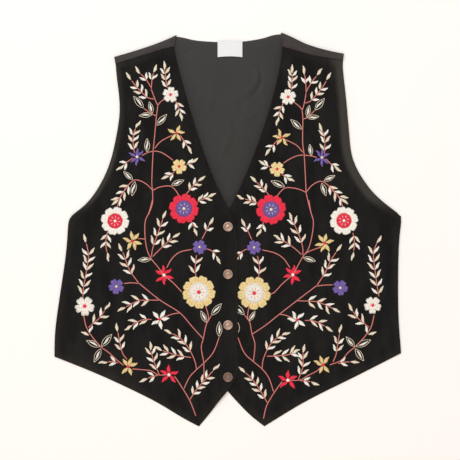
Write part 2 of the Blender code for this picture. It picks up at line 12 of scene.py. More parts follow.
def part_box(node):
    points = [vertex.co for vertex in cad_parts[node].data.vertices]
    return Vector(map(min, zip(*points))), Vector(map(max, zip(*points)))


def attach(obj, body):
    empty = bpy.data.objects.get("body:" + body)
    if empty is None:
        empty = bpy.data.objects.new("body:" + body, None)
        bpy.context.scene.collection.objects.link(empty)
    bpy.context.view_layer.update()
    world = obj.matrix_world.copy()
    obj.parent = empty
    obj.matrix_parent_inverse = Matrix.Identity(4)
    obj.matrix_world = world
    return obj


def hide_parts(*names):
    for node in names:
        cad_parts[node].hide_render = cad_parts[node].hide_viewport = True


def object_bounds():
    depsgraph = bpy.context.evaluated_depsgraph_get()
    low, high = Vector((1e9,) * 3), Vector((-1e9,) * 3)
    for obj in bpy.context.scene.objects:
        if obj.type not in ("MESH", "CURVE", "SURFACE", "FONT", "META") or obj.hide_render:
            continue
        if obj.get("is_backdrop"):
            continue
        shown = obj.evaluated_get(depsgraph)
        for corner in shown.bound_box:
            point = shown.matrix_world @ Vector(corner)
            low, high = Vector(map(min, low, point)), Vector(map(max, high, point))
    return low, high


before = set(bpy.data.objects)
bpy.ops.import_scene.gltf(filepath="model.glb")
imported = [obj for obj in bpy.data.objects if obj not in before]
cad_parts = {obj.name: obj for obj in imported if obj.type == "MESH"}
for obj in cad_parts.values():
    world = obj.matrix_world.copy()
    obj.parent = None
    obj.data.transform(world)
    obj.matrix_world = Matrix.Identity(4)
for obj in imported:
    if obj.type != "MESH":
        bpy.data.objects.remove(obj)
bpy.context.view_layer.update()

# Back. One piece of thin brown-black satin, cut with the garment's outline. It lies face down under
# everything else, and its shoulders fold over to the front, where they show as two narrow strips.
MERGE = 0.000001
ROLL = 0.00032  # how far a pressed edge is rounded off
CREASE_BEND = 0.6  # how much a soft crease bends along its length
WAVE = math.tau / 20  # metres from one band to the next of a wave texture of scale 1
SATIN_BROWN, SATIN_DEEP = "#302423", "#221918"
SATIN_THREAD = 0.00045  # warp spacing, drawn about twice as coarse as real so that it shows
SATIN_CLOUDS = 38.0  # lighter patches to a metre
STRIP_FROM, STRIP_TO = 0.0036, 0.0044  # height by which the satin counts as a strip
STRIP_ENDS = (-0.0800, 0.0815)  # each strip's end at the neck, where it rolls under
NECK_ROLL, NECK_ROLL_DROP = 0.0030, 0.0004
NECK_RISE_AT, NECK_RISE_HALF, NECK_RISE = 0.0620, 0.0300, 0.0019  # where the neck's edge is drawn up
NECK_EDGE_FROM, NECK_EDGE_TO = 0.2700, 0.2840
STRIP_CREASES = (
    # x, y, degrees from +X, half length, half width, height, in mm
    (-135, 265, 18, 20, 2.8, -0.3), (-106, 274, 22, 14, 2.8, 0.3),
    (-83, 283, 80, 9, 2.2, -0.4), (85, 283, -80, 9, 2.2, -0.5),
    (95, 280, -40, 12, 3.4, 0.5), (108, 274, -28, 16, 3, -0.4),
    (130, 268, -15, 20, 3, 0.4), (156, 262, -10, 16, 2.6, -0.3),
)


def linear(colour):
    """The linear value of an sRGB hex colour."""
    parts = [int(colour[k : k + 2], 16) / 255 for k in (1, 3, 5)]
    return (*[p / 12.92 if p <= 0.04045 else ((p + 0.055) / 1.055) ** 2.4 for p in parts], 1.0)


def give(node, inputs):
    """Sets a node's inputs to values or hex colours, or links other nodes' outputs to them."""
    for name, value in inputs.items():
        if isinstance(value, bpy.types.NodeSocket):
            node.id_data.links.new(value, node.inputs[name])
        else:
            node.inputs[name].default_value = linear(value) if str(value).startswith("#") else value


def add(tree, kind, inputs=None, **settings):
    """A new node with its settings and inputs, or the output that its kind names after a dot."""
    kind, _, output = kind.partition(".")
    node = tree.nodes.new(kind)
    for name, value in settings.items():
        setattr(node, name, value)
    give(node, inputs or {})
    return node.outputs[output] if output else node


def start_material(name, **values):
    """A new material with its shader's own values set, its tree and its shader."""
    made = bpy.data.materials.new(name)
    made.use_nodes = True
    shader = made.node_tree.nodes["Principled BSDF"]
    give(shader, {socket.replace("_", " "): value for socket, value in values.items()})
    return made, made.node_tree, shader


def placed(name, data):
    """A new object in the scene."""
    made = bpy.data.objects.new(name, data)
    bpy.context.scene.collection.objects.link(made)
    return made


def plain_mesh(thing, name):
    """An object's evaluated form as a plain mesh object, in its place."""
    graph = bpy.context.evaluated_depsgraph_get()
    mesh = bpy.data.meshes.new_from_object(thing.evaluated_get(graph), depsgraph=graph)
    bpy.data.objects.remove(thing)
    mesh.name = name
    return placed(name, mesh)


def cloth_shell(name, node, levels):
    """A fine shell on a cloth wall of the frame, with the wall's outline and a rolled edge."""
    form = bmesh.new()
    form.from_mesh(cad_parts[node].data)
    bmesh.ops.remove_doubles(form, verts=form.verts, dist=MERGE)
    bmesh.ops.join_triangles(
        form, faces=form.faces, angle_face_threshold=math.radians(35), angle_shape_threshold=math.pi
    )
    crease = form.edges.layers.float.new("crease_edge")
    for line in form.edges:
        line[crease] = float(line.calc_face_angle(0.0) > math.radians(60))
    mesh = bpy.data.meshes.new(name)
    form.to_mesh(mesh)
    form.free()
    rough = placed(name + "_rough", mesh)
    smooth = rough.modifiers.new("Smooth", "SUBSURF")
    smooth.levels = smooth.render_levels = levels
    roll = rough.modifiers.new("Roll", "BEVEL")
    roll.width = ROLL
    roll.segments = 2
    roll.limit_method = "ANGLE"
    roll.angle_limit = math.radians(50)
    made = plain_mesh(rough, name)
    made.data.shade_smooth()
    return made


def points_of(piece):
    """The places and normals of a piece's vertices, as arrays."""
    mesh = piece.data
    places = np.empty(len(mesh.vertices) * 3)
    normals = np.empty(len(mesh.vertices) * 3)
    mesh.vertices.foreach_get("co", places)
    mesh.vertex_normals.foreach_get("vector", normals)
    return places.reshape(-1, 3), normals.reshape(-1, 3)


def set_points(piece, places):
    piece.data.vertices.foreach_set("co", places.ravel())
    piece.data.update()


def paint(mesh, name, values):
    """Keeps a value at each vertex, for a material to read."""
    mesh.attributes.new(name, "FLOAT", "POINT").data.foreach_set("value", values)


def swell(off, width):
    """1 in the middle, falling off evenly to both sides."""
    return np.exp(-((off / width) ** 2))


def soft_creases(table, x, y):
    """The height of a table's soft ridges and troughs at points."""
    height = np.zeros_like(x)
    for at_x, at_y, degrees, half_length, half_width, rise in table:
        turn = math.radians(degrees)
        off_x, off_y = 1000 * x - at_x, 1000 * y - at_y
        along = off_x * math.cos(turn) + off_y * math.sin(turn)
        across = off_y * math.cos(turn) - off_x * math.sin(turn)
        across -= CREASE_BEND * along**2 / max(half_length, 20)
        height += rise / 1000 * swell(along, half_length) * swell(across, half_width)
    return height


def neck_drawn_up(places):
    """Draws the neck's edge up a little on the wearer's left, as it lies there."""
    x, y, _ = places.T
    near = np.clip((y - NECK_EDGE_FROM) / (NECK_EDGE_TO - NECK_EDGE_FROM), 0, 1)
    y += NECK_RISE * near * swell(x - NECK_RISE_AT, NECK_RISE_HALF)


# Satin: filament woven so that long floats lie on the face, which gives a soft lustre along them.
satin, tree, shader = start_material(
    "brown-black satin", Roughness=0.44, Specular_IOR_Level=0.3, Sheen_Weight=0.15, Sheen_Roughness=0.45,
    Anisotropic=0.35,
)
where = add(tree, "ShaderNodeTexCoord.Object")
cloud = add(tree, "ShaderNodeTexNoise.Fac", {"Vector": where, "Scale": SATIN_CLOUDS, "Detail": 3.0})
# Painted shade: the satin is drawn darker where each strip's end rolls under at the neck.
rolled_shade = add(tree, "ShaderNodeAttribute.Fac", attribute_name="neck_roll_shade")
cloud = add(tree, "ShaderNodeMath.Value", {0: cloud, 1: rolled_shade}, operation="SUBTRACT", use_clamp=True)
colour = add(
    tree, "ShaderNodeMix.Result", {"Factor": cloud, "A": SATIN_DEEP, "B": SATIN_BROWN}, data_type="RGBA"
)
floats = add(
    tree,
    "ShaderNodeTexWave.Fac",
    {"Vector": where, "Scale": WAVE / SATIN_THREAD, "Distortion": 0.6, "Detail": 1.0},
    bands_direction="X",
)
relief = add(tree, "ShaderNodeBump.Normal", {"Height": floats, "Strength": 0.25, "Distance": 0.0001})
give(shader, {"Base Color": colour, "Normal": relief})

back = cloth_shell("satin_back", "back", 2)
places, normals = points_of(back)
x, y, z = places.T
on_strip = np.clip((z - STRIP_FROM) / (STRIP_TO - STRIP_FROM), 0, 1) * np.clip(2 * normals[:, 2], 0, 1)
z += on_strip * soft_creases(STRIP_CREASES, x, y)
roll = swell(x - np.where(x < 0, *STRIP_ENDS), NECK_ROLL) * on_strip
z -= NECK_ROLL_DROP * roll
neck_drawn_up(places)
set_points(back, places)
# Paints shade on the satin where each strip's end rolls under at the neck.
paint(back.data, "neck_roll_shade", roll)
back.data.materials.append(satin)
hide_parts("back")
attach(back, "root")

# Back lining. A thin charcoal-brown twill, sewn in round the edges, which shows in the open V of the
# neck. It has a few faint upright creases there from being folded.
# LINING_SHADED is the colour of the painted shadow near the fronts' edges.
LINING_BROWN, LINING_DEEP, LINING_SHADED = "#2B2825", "#201D1B", "#060505"
EDGE_SHADOW_REACH = 0.0055  # how far from the fronts' edges the lining is darkened by painted shadow
TWILL, TWILL_SLOPE = 0.0009, 0.7  # spacing of the twill's ribs, drawn about twice as coarse as real
LINING_CLOUDS = 24.0  # lighter patches to a metre
NECK_SLOPE, NECK_FOOT, NECK_FADE = 0.345, 0.030, 0.012  # the open V: half width by height, foot, soft edge
LINING_CREASES = (
    # x, y, degrees from +X, half length, half width, height, in mm
    (50, 225, 86, 34, 2.2, -0.7), (44, 230, 84, 30, 4, 0.5),
    (56, 195, 80, 30, 3.5, 0.4), (-24, 205, 92, 50, 5, 0.4),
    (-48, 215, 97, 40, 3.6, -0.4), (4, 150, 89, 55, 4.6, 0.4),
    (-12, 125, 94, 40, 4, -0.3), (22, 190, 92, 45, 4.4, -0.3),
    (-60, 265, 30, 16, 3, -0.4), (62, 270, 140, 18, 3.4, 0.4),
    (5, 70, 88, 30, 4, 0.3),
)

lining, tree, shader = start_material(
    "charcoal lining twill", Roughness=0.5, Specular_IOR_Level=0.3, Sheen_Weight=0.1, Sheen_Roughness=0.4
)
where = add(tree, "ShaderNodeTexCoord.Object")
cloud = add(tree, "ShaderNodeTexNoise.Fac", {"Vector": where, "Scale": LINING_CLOUDS, "Detail": 3.0})
# Painted shadow: the lining is drawn darker near the fronts' edges, which stand over it.
edge_shadow = add(tree, "ShaderNodeAttribute.Fac", attribute_name="under_edge")
colour = add(
    tree, "ShaderNodeMix.Result", {"Factor": cloud, "A": LINING_DEEP, "B": LINING_BROWN}, data_type="RGBA"
)
colour = add(
    tree, "ShaderNodeMix.Result", {"Factor": edge_shadow, "A": colour, "B": LINING_SHADED}, data_type="RGBA"
)
ribs = add(
    tree,
    "ShaderNodeTexWave.Fac",
    {"Vector": where, "Scale": WAVE / TWILL * TWILL_SLOPE, "Distortion": 0.4, "Detail": 1.0},
    bands_direction="DIAGONAL",
)
relief = add(tree, "ShaderNodeBump.Normal", {"Height": ribs, "Strength": 0.2, "Distance": 0.0001})
give(shader, {"Base Color": colour, "Normal": relief})


def surface_of(piece):
    """A piece's surface, for the nearest place on it or where a line meets it."""
    spots = [tuple(v.co) for v in piece.data.vertices]
    return BVHTree.FromPolygons(spots, [tuple(face.vertices) for face in piece.data.polygons])


back_lining = cloth_shell("back_lining_cloth", "back_lining", 3)
places, normals = points_of(back_lining)
x, y, z = places.T
facing_up = np.clip(2 * normals[:, 2], 0, 1)
in_neck = np.clip((NECK_SLOPE * (y - NECK_FOOT) - np.abs(x)) / NECK_FADE, 0, 1)
z += facing_up * in_neck * soft_creases(LINING_CREASES, x, y)
# Paints shadow on the lining near the fronts' edges, fading with the distance to them.
above = [surface_of(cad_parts[f"{side}_front"]) for side in ("right", "left")]
gaps = np.array([min(front.find_nearest(tuple(place))[3] for front in above) for place in places])
paint(back_lining.data, "under_edge", np.exp(-gaps / EDGE_SHADOW_REACH))
neck_drawn_up(places)
set_points(back_lining, places)
back_lining.data.materials.append(lining)
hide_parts("back_lining")
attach(back_lining, "root")

# Fronts. Two panels of black cotton velveteen, faced and turned, so that every edge is rolled over a seam
# allowance. The wearer's right one, at -X, laps over the left one and is snapped to it.
VELVET_BLACK, VELVET_GREY = "#111010", "#3B3834"
# Painted sheen: how much lighter the pile is drawn along its edges, from 0 to 1, and how far from the edge in
# metres.
EDGE_SHEEN, OPENING_SHEEN, EDGE_SHEEN_ENDS = 0.11, 0.01, (0.004, 0.013)
# Painted sheen in a band along each armhole, stronger on the left front.
ARMHOLE_BANDS = {
    # how much painted sheen, where it starts to fade, where it ends
    "right": (0.40, 0.0030, 0.0100),
    "left": (0.95, 0.0070, 0.0170),
}
ARMHOLE_FOOT = (0.022, 0.055)  # y, where the band along the armhole ends and is full
DARK_RIM, DARK_RIM_WIDTH = 0.40, 0.0013  # the band's edge turns away from the light
# A painted highlight line along the right front's armhole.
ARMHOLE_HIGHLIGHT, ARMHOLE_LINE_AT, ARMHOLE_LINE_WIDTH = 0.45, 0.0035, 0.0016  # right front, below y 0.12
# Painted sheen at the lower outer corners, and painted highlight lines along the sides and the placket.
CORNER_SHEEN, SIDE_HIGHLIGHT, PLACKET_HIGHLIGHT, LINE_WIDTH = 0.16, 0.20, 0.15, 0.0015
NAP_GRAIN = 0.0007  # size of a tuft of pile, drawn about twice as coarse as real
NAP_STROKES = (60.0, 22.0, 60.0)  # strokes of the brushed pile to a metre, along each axis
ALLOWANCE, ALLOWANCE_RISE = 0.0075, 0.00045  # width and thickness of the seam allowance inside each edge
PUCKER, PUCKER_AT, PUCKER_WIDTH = 0.00016, 0.006, 0.004  # small puckers where the edge is stitched down
RIM_TILT = 0.55  # the upright part of a unit normal, below which it is on the rim
UNDER_BAND = (0.014, 0.022)  # x, where the left front comes out from under the right one's band
SNAPS = [sum(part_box(f"snap_cap_{k}"), Vector()) / 2 for k in (1, 2, 3, 4)]
SNAP_RADIUS = 0.0075
DIMPLE, DIMPLE_AT, DIMPLE_WIDTH = 0.0004, 1.15 * SNAP_RADIUS, 0.0022  # how a cap presses the pile down
FRONT_CREASES = {
    # x, y, degrees from +X, half length, half width, height, in mm
    "right": (
        (-208, 25, 35, 30, 5, -0.8), (-195, 15, 30, 36, 6.5, 0.7),
        (-185, 62, 52, 26, 4.5, -0.6), (-235, -50, 12, 22, 5.5, -0.7),
        (-238, -85, 8, 20, 6, 0.7), (-244, -125, 4, 24, 6, -0.6),
        (-215, -150, 70, 40, 8, 0.6), (-155, 175, 95, 30, 4.5, -0.5),
        (-148, 125, 72, 34, 6, 0.5), (-125, 245, 14, 26, 4.5, -0.5),
        (-95, 238, 100, 26, 5, 0.5), (-50, 120, 118, 34, 5, -0.5),
        (-25, 55, 120, 30, 5, 0.6), (-175, -175, 110, 28, 7, -0.6),
        (-120, -175, 60, 30, 8, 0.6), (-70, -225, 130, 34, 7, -0.6),
        (-35, -245, 48, 26, 6.5, 0.6), (-95, -5, 80, 44, 9, 0.5),
        (-30, -175, 96, 30, 6, -0.5),
    ),
    "left": (
        (228, 28, 145, 30, 5, -0.8), (212, 12, 150, 36, 6.5, 0.8),
        (238, -10, 160, 24, 5, -0.7), (242, -45, 172, 22, 5.5, 0.7),
        (240, -90, 176, 26, 6, -0.6), (238, -135, 178, 24, 6.5, 0.7),
        (205, -160, 108, 40, 8, -0.5), (172, 175, 92, 34, 5, 0.6),
        (164, 130, 100, 36, 5.5, -0.6), (185, 80, 128, 28, 5, 0.6),
        (135, 250, 165, 26, 4.5, -0.5), (100, 238, 82, 26, 5, 0.5),
        (55, 125, 62, 34, 5, -0.5), (30, 60, 60, 30, 5, 0.5),
        (180, -185, 72, 28, 7, -0.6), (125, -180, 118, 30, 8, 0.6),
        (75, -225, 52, 34, 7, -0.6), (45, -250, 130, 26, 6.5, 0.6),
        (100, -5, 98, 44, 9, 0.5),
    ),
}

# Velveteen: short dense pile that eats the light face on and glows at a slant and where it is brushed.
velveteen, tree, shader = start_material(
    "black velveteen", Roughness=0.95, Specular_IOR_Level=0.14, Sheen_Weight=0.44, Sheen_Roughness=0.35
)
where = add(tree, "ShaderNodeTexCoord.Object")
brushed = add(tree, "ShaderNodeMapping.Vector", {"Vector": where, "Scale": NAP_STROKES})
brushing = add(tree, "ShaderNodeTexNoise.Fac", {"Vector": brushed, "Scale": 1.0, "Detail": 5.0})
grain = add(tree, "ShaderNodeTexNoise.Fac", {"Vector": where, "Scale": 1 / NAP_GRAIN, "Detail": 2.0})
# Painted sheen and highlight lines near the edges, read from the mesh, lighten the pile.
edge = add(tree, "ShaderNodeAttribute.Fac", attribute_name="painted_edge_sheen")
tuft = add(tree, "ShaderNodeMath.Value", {0: brushing, 1: grain}, operation="MULTIPLY")
tone = add(
    tree, "ShaderNodeMapRange.Result", {"Value": tuft, "From Min": 0.15, "From Max": 0.40, "To Max": 0.24}
)
tone = add(tree, "ShaderNodeMath.Value", {0: tone, 1: edge}, operation="ADD", use_clamp=True)
colour = add(
    tree, "ShaderNodeMix.Result", {"Factor": tone, "A": VELVET_BLACK, "B": VELVET_GREY}, data_type="RGBA"
)
relief = add(tree, "ShaderNodeBump.Normal", {"Height": grain, "Strength": 0.5, "Distance": 0.0003})
give(shader, {"Base Color": colour, "Normal": relief})


def beyond(low, high, value):
    """0 at low, 1 at high, and an even S-curve between, for arrays."""
    share = np.clip((value - low) / (high - low), 0, 1)
    return share * share * (3 - 2 * share)


surfaces = {}
for side in ("left", "right"):
    front = cloth_shell(f"{side}_front_velveteen", f"{side}_front", 3)
    places, normals = points_of(front)
    x, y, z = places.T
    on_rim = np.nonzero(np.abs(normals[:, 2]) < RIM_TILT)[0]
    rim = KDTree(len(on_rim))
    for index in on_rim:
        rim.insert((x[index], y[index], 0.0), index)
    rim.balance()
    from_edge = np.array([rim.find((at_x, at_y, 0.0))[2] for at_x, at_y in zip(x, y)])
    facing_up = np.clip(2 * normals[:, 2], 0, 1)
    rise = ALLOWANCE_RISE * (1 - beyond(ALLOWANCE, 1.35 * ALLOWANCE, from_edge)) * beyond(0, 0.002, from_edge)
    pucker = np.sin(x * 610 + 2.2 * np.sin(y * 130)) * np.sin(y * 570 + 2.0 * np.sin(x * 110))
    rise += PUCKER * pucker * swell(from_edge - PUCKER_AT, PUCKER_WIDTH)
    rise += soft_creases(FRONT_CREASES[side], x, y) * beyond(0, 0.006, from_edge)
    if side == "right":
        for snap in SNAPS:
            off = np.hypot(x - snap.x, y - snap.y)
            rise *= beyond(SNAP_RADIUS, 2.0 * SNAP_RADIUS, off)
            rise -= DIMPLE * swell(off - DIMPLE_AT, DIMPLE_WIDTH)
    else:
        rise *= beyond(*UNDER_BAND, x)
    z += facing_up * rise
    set_points(front, places)
    # Painted sheen: the pile is drawn lighter along its edges, in bands along the armholes, at the lower
    # outer corners and in thin highlight lines.
    outside = np.clip((np.abs(x) - 0.150 - 0.55 * np.clip(0.06 - y, 0, 0.1)) / 0.02, 0, 1)
    outside *= beyond(*ARMHOLE_FOOT, y)
    inside = (np.abs(x) < 0.100) & (y > -0.215)
    lightness, fades_from, fades_to = ARMHOLE_BANDS[side]
    line = swell(from_edge, LINE_WIDTH)
    painted_sheen = np.where(inside, OPENING_SHEEN, EDGE_SHEEN) * (1 - beyond(*EDGE_SHEEN_ENDS, from_edge))
    dark_rim = 1 - DARK_RIM * swell(from_edge, DARK_RIM_WIDTH)
    painted_sheen += lightness * outside * dark_rim * (1 - beyond(fades_from, fades_to, from_edge))
    painted_sheen += CORNER_SHEEN * beyond(0.12, 0.24, -y) * beyond(0.06, 0.20, -x)
    painted_sheen += SIDE_HIGHLIGHT * (np.abs(x) > 0.2) * beyond(-0.10, 0.0, y) * line
    if side == "right":
        painted_sheen += PLACKET_HIGHLIGHT * inside * (x > 0.006) * (y < 0.020) * line
        seam_highlight = swell(from_edge - ARMHOLE_LINE_AT, ARMHOLE_LINE_WIDTH)
        painted_sheen += ARMHOLE_HIGHLIGHT * outside * (y < 0.120) * seam_highlight
    paint(front.data, "painted_edge_sheen", painted_sheen)
    front.data.materials.append(velveteen)
    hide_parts(f"{side}_front")
    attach(front, "root")
    surfaces[side] = surface_of(front)

# Neck label. A bare white woven tape, folded and tacked to the lining at the back of the neck by a row of
# white stitches along its top. Its lower edge is free and bows up a little.
LABEL_WHITE, LABEL_SHADE = "#EDEEF1", "#DADADC"
TAPE_RIB = 0.0006  # rib of the tape, drawn about twice as coarse as real
LABEL_BOW, LABEL_LIFT = 0.0022, 0.0012

tape, tree, shader = start_material("white woven label tape", Roughness=0.6, Sheen_Weight=0.2)
where = add(tree, "ShaderNodeTexCoord.Object")
ribs = add(tree, "ShaderNodeTexWave.Fac", {"Vector": where, "Scale": WAVE / TAPE_RIB}, bands_direction="Y")
colour = add(
    tree, "ShaderNodeMix.Result", {"Factor": ribs, "A": LABEL_SHADE, "B": LABEL_WHITE}, data_type="RGBA"
)
relief = add(tree, "ShaderNodeBump.Normal", {"Height": ribs, "Strength": 0.3, "Distance": 0.0001})
give(shader, {"Base Color": colour, "Normal": relief})

label = cloth_shell("neck_label_tape", "neck_label", 3)
low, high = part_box("neck_label")
places, normals = points_of(label)
x, y, z = places.T
across = (x - (low.x + high.x) / 2) / (high.x - low.x) * 2
bow = (1 - across**2) * beyond(0.3, 1.0, (high.y - y) / (high.y - low.y))
y += LABEL_BOW * bow
z += LABEL_LIFT * bow
set_points(label, places)
label.data.materials.append(tape)
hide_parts("neck_label")
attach(label, "root")
surfaces["label"] = surface_of(label)
TACKS, TACK_LENGTH, TACK_INSET = 9, 2.2, 1.2  # mm
TACKS_FROM, TACKS_TO = low.x * 1000 + TACK_INSET, high.x * 1000 - TACK_INSET - TACK_LENGTH
TACKS_Y = high.y * 1000 - TACK_INSET

# Snaps. Four sprung press snaps of brown-patinated brass. Each cap is pressed over the right front and
# set through it, and its hidden core joins the two bands.
SNAP_BRASS, SNAP_PATINA = "#B89C8C", "#735F54"
SNAP_TARNISH_AND_SHADE = (0.05, 0.15, 0.0, 0.60)  # how much darker each cap is than bare metal, from the top: tarnish, and on the fourth cap painted shade
SNAP_PROFILE = (
    # share of the radius, share of the height
    (0.00, 0.74), (0.13, 0.72), (0.22, 0.58), (0.52, 0.50),
    (0.62, 0.56), (0.70, 0.86), (0.80, 1.00), (0.90, 0.92),
    (0.97, 0.62), (1.00, 0.30), (0.97, 0.00),
)
SNAP_SEGMENTS = 48
SNAP_STAINS = 420.0  # stains to a metre
HOLLOW, HOLLOW_DULL = (0.15, 0.72), 0.2  # the cap's hollow, by share of the radius, where it is duller

metal, tree, shader = start_material("brown patinated brass", Metallic=0.9, Roughness=0.38)
where = add(tree, "ShaderNodeTexCoord.Object")
stain = add(tree, "ShaderNodeTexNoise.Fac", {"Vector": where, "Scale": SNAP_STAINS, "Detail": 4.0})
stain = add(tree, "ShaderNodeMapRange.Result", {"Value": stain, "From Min": 0.3, "To Max": 0.5})
# Tarnish, patina in the hollow, and painted shade on the fourth cap darken the metal.
aged_and_shaded = add(tree, "ShaderNodeAttribute.Fac", attribute_name="tarnish_and_shade")
dull = add(tree, "ShaderNodeMath.Value", {0: stain, 1: aged_and_shaded}, operation="ADD", use_clamp=True)
colour = add(
    tree, "ShaderNodeMix.Result", {"Factor": dull, "A": SNAP_BRASS, "B": SNAP_PATINA}, data_type="RGBA"
)
rough = add(tree, "ShaderNodeMapRange.Result", {"Value": dull, "To Min": 0.28, "To Max": 0.6})
give(shader, {"Base Color": colour, "Roughness": rough})

for number, middle in enumerate(SNAPS, 1):
    low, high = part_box(f"snap_cap_{number}")
    radius, height = (high.x - low.x) / 2, high.z - low.z
    rings = []
    form = bmesh.new()
    for out, up in SNAP_PROFILE[1:]:
        ring = []
        for k in range(SNAP_SEGMENTS):
            turn = math.tau * k / SNAP_SEGMENTS
            spot = (middle.x + radius * out * math.cos(turn), middle.y + radius * out * math.sin(turn))
            ring.append(form.verts.new((*spot, low.z + height * up)))
        rings.append(ring)
    crown = form.verts.new((middle.x, middle.y, low.z + height * SNAP_PROFILE[0][1]))
    for k in range(SNAP_SEGMENTS):
        after = (k + 1) % SNAP_SEGMENTS
        form.faces.new((crown, rings[0][k], rings[0][after]))
        for inner, outer in zip(rings, rings[1:]):
            form.faces.new((inner[k], outer[k], outer[after], inner[after]))
    form.faces.new(rings[-1][::-1])
    bmesh.ops.recalc_face_normals(form, faces=form.faces)
    mesh = bpy.data.meshes.new(f"snap_button_{number}")
    form.to_mesh(mesh)
    form.free()
    mesh.shade_smooth()
    out = np.array([math.dist(v.co.xy, middle.xy) / radius for v in mesh.vertices])
    hollow = (out > HOLLOW[0]) & (out < HOLLOW[1])
    paint(mesh, "tarnish_and_shade", SNAP_TARNISH_AND_SHADE[number - 1] + HOLLOW_DULL * hollow)
    button = placed(mesh.name, mesh)
    mesh.materials.append(metal)
    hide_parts(f"snap_cap_{number}")
    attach(button, "root")
    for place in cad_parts[f"snap_core_{number}"].material_slots:
        place.material = metal

# Embroidery. Stranded cotton in six colours, worked by hand through each front before it was lined. Stems
# are stem stitch, leaves and petals are slanted satin stitch, and each flower's heart is a few crossed
# threads. The left front is worked from the same drawing, turned over.
THREADS = {
    # thread: (colour, shade between its strands)
    "white": ("#FFFFF5", "#E0D2C6"),
    "beige": ("#FFF4DC", "#A88868"),
    "coral": ("#E6867E", "#8C3E38"),
    "gold": ("#FFEDAE", "#C08838"),
    "purple": ("#7F66BA", "#20134A"),
    "red": ("#FF1E46", "#B0082C"),
}
STEM_STEP, STEM_WIDTH = 2.0, 1.5  # mm from one stem stitch to the next, and a thread's width
SATIN_STEP, SATIN_WIDTH = 1.0, 1.25
FINE_WIDTH = 0.75
THREAD_HEIGHT = 0.62
FILL_TONE, RIM_TONE, STAR_TONE, GOLD_STAR_TONE = 0.98, 1.25, 1.05, 0.82  # shares of a thread's light colour
RIM_STITCH = 3.1  # mm, the short threads along the edge of a petal
LEAF_ANGLE = 36.0  # degrees between a leaf and its stem
TIP_LEAF, TIP_WIDTH, LONE_WIDTH = 13.5, 4.7, 4.6  # mm
LEAF_SHARE, LEAF_WIDEST = 0.40, 4.5  # width by length, and in mm
STAR_PETAL, PURPLE_STAR_PETAL = 0.41, 0.36  # width by length
LEAF_LENGTHS = (10.8, 13.2)  # mm, the shortest and the longest leaf of a pair
STEMS = (
    ((-119, 23), (-113, 40), (-113, 59), (-114, 73), (-112, 118), (-110, 138), (-107, 171), (-105, 186)),
    ((-105, 186), (-109, 195), (-115, 211)),
    ((-105, 186), (-102, 191), (-95, 196)),
    ((-107, 171), (-113, 173), (-126, 182)),
    ((-110, 122), (-100, 133), (-83, 142)),
    ((-111, 118), (-102, 117), (-91, 111), (-82, 104)),
    ((-111, 118), (-120, 116), (-129, 111)),
    ((-113, 60), (-124, 70), (-139, 75), (-151, 65), (-161, 49), (-166, 33)),
    ((-113, 59), (-103, 64), (-87, 66), (-79, 60), (-71, 48)),
    ((-113, 45), (-118, 27), (-124, 12), (-124, -12), (-121, -30), (-115, -43), (-105, -55), (-96, -68)),
    ((-96, -68), (-82, -79), (-69, -93)),
    ((-92, -57), (-84, -43), (-72, -33), (-54, -29)),
    ((-37, -163), (-55, -143), (-72, -124), (-103, -104), (-134, -79)),
    ((-134, -80), (-144, -79), (-156, -80)),
    ((-72, -124), (-84, -126), (-96, -131)),
    ((-48, -279), (-54, -263), (-58, -254), (-67, -239), (-80, -219)),
    ((-66, -238), (-58, -221), (-47, -209), (-36, -199), (-22, -183), (-13, -160)),
    ((-36, -199), (-40, -176), (-37, -163), (-33, -143), (-29, -131), (-34, -112)),
    ((-32, -140), (-25, -128)),
    ((-88, -217), (-105, -217), (-115, -211), (-131, -209), (-144, -208)),
    ((-156, -203), (-167, -194), (-179, -183), (-190, -175), (-203, -160), (-212, -145), (-216, -128)),
)
SIDE_STEMS = {
    "right": (((-124, -14), (-129, -13), (-135, -13)), ((-36, -222), (-36, -199))),
    "left": (((-117, -39), (-125, -31), (-138, -23)), ((-70, -92), (-63, -96))),
}
LEFT_MOVES = (
    # place in the drawing, and how far the left front's own work there is off its mirror image, in mm
    (-48, -279, 5, -4), (-57, -254, 2, -5), (-13, -200, 3, -5), (-37, -163, -1, 7),
    (-36, -199, 2, 2), (-47, -209, 4, 1), (-55, -191, 3, 2), (-96, -150, -3, -3),
    (-111, -175, -3, -4), (-103, -217, 2, -8), (-110, -219, 7, -7), (-133, -228, 4, -4),
    (-151, -194, 6, -4), (-190, -175, 0, 0), (-201, -199, 3, 2), (-173, -155, 3, -4),
    (-213, -165, 2, 1), (-177, -108, 3, -2), (-165, -122, 3, -1), (-155, -150, 2, -2),
    (-72, -124, 5, -2), (-103, -105, 1, -1), (-134, -79, -1, -4), (-217, -101, 9, 1),
    (-209, -45, 9, 0), (-216, -6, 13, -2), (-164, -20, 6, -1), (-180, -2, 7, -2),
    (-178, -47, 7, 1), (-115, -43, -3, 3), (-136, -45, -4, -2), (-72, -4, -4, -4),
    (-93, 29, -2, -3), (-124, -12, 1, 0), (-118, 27, 6, 0), (-113, 45, 8, 0),
    (-113, 59, 4, -3), (-166, 35, 6, 2), (-18, 55, -6, -3), (-34, 81, -1, -1),
    (-65, 75, -2, -1), (-144, 50, 3, 0), (-139, 75, 1, -2), (-157, 88, 4, -6),
    (-121, 138, 1, -9), (-121, 116, 4, -5), (-112, 118, 2, -6), (-167, 89, 3, -1),
    (-100, 76, 0, -3), (-45, 108, 1, -4), (-54, 114, 2, -3), (-131, 164, 5, -4),
    (-91, 174, 2, -8), (-69, 163, 4, -7), (-107, 171, 5, -5), (-105, 186, 6, -7),
    (-134, 171, 3, -1), (-142, 201, 3, -3), (-115, 211, 2, -6), (-96, 253, 0, -5),
    (-107, 248, 5, -2), (-139, 245, 2, -3), (-153, 236, 1, 0),
)
